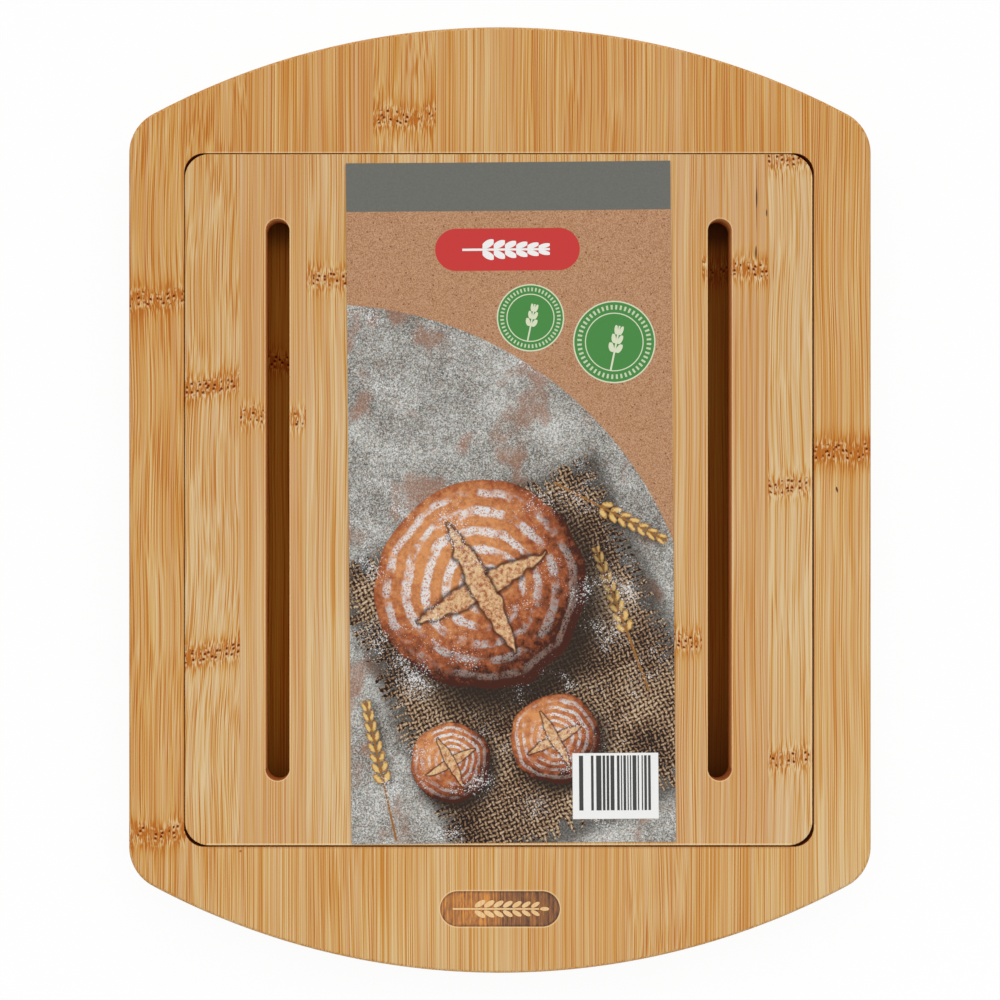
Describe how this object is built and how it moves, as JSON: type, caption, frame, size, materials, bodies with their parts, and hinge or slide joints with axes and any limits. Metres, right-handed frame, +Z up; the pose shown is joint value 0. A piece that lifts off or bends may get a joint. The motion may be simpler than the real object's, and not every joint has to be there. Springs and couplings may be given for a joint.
{
  "type": "bread board",
  "caption": "Bamboo bread board with bowed ends: a base with a crumb recess, a flush lift-out slotted cutting board in its pocket, and a flat printed card on top.",
  "frame": {"origin": "middle of the base's underside", "axes": "+X to the right and +Y to the far end as the board is seen from above, +Z up out of the cutting face; the bamboo strips of the base and insert run along Y"},
  "size_m": [0.298, 0.38, 0.0258],
  "materials": {
    "rim_bamboo": "oiled bamboo strips, warm honey brown, satin",
    "insert_bamboo": "oiled bamboo strips, a little paler than the rim, satin",
    "inner_bamboo": "sanded bamboo of the inner and lower plies",
    "printed_card": "printed kraft card, semi-matt"
  },
  "bodies": {
    "base": {"floor_strip_01": "inner_bamboo", "floor_strip_02": "inner_bamboo", "floor_strip_03": "inner_bamboo", "floor_strip_04": "inner_bamboo", "floor_strip_05": "inner_bamboo", "floor_strip_06": "inner_bamboo", "floor_strip_07": "inner_bamboo", "floor_strip_08": "inner_bamboo", "floor_strip_09": "inner_bamboo", "floor_strip_10": "inner_bamboo", "floor_strip_11": "inner_bamboo", "floor_strip_12": "inner_bamboo", "core_rail_left": "inner_bamboo", "core_rail_right": "inner_bamboo", "core_end_far": "inner_bamboo", "core_end_near": "inner_bamboo", "rim_rail_left": "rim_bamboo", "rim_rail_right": "rim_bamboo", "rim_far_01": "rim_bamboo", "rim_far_02": "rim_bamboo", "rim_far_03": "rim_bamboo", "rim_far_04": "rim_bamboo", "rim_far_05": "rim_bamboo", "rim_far_06": "rim_bamboo", "rim_far_07": "rim_bamboo", "rim_far_08": "rim_bamboo", "rim_far_09": "rim_bamboo", "rim_far_10": "rim_bamboo", "rim_near_01": "rim_bamboo", "rim_near_02": "rim_bamboo", "rim_near_03": "rim_bamboo", "rim_near_04": "rim_bamboo", "rim_near_05": "rim_bamboo", "rim_near_06": "rim_bamboo", "rim_near_07": "rim_bamboo", "rim_near_08": "rim_bamboo", "rim_near_09": "rim_bamboo", "rim_near_10": "rim_bamboo"},
    "insert": {"insert_strip_01": "insert_bamboo", "insert_strip_02": "insert_bamboo", "insert_strip_03": "insert_bamboo", "insert_strip_04": "insert_bamboo", "insert_strip_05": "insert_bamboo", "insert_strip_06": "insert_bamboo", "insert_strip_07": "insert_bamboo", "insert_strip_08": "insert_bamboo", "insert_strip_09": "insert_bamboo", "insert_strip_10": "insert_bamboo"},
    "card": {"label_card": "printed_card"}
  },
  "joints": [
    {"name": "insert_lift", "type": "slide", "parent": "base", "child": "insert", "axis": [0, 0, 1], "range_m": [0, 0.06]},
    {"name": "card_lift", "type": "slide", "parent": "insert", "child": "card", "axis": [0, 0, 1], "range_m": [0, 0.04]}
  ]
}
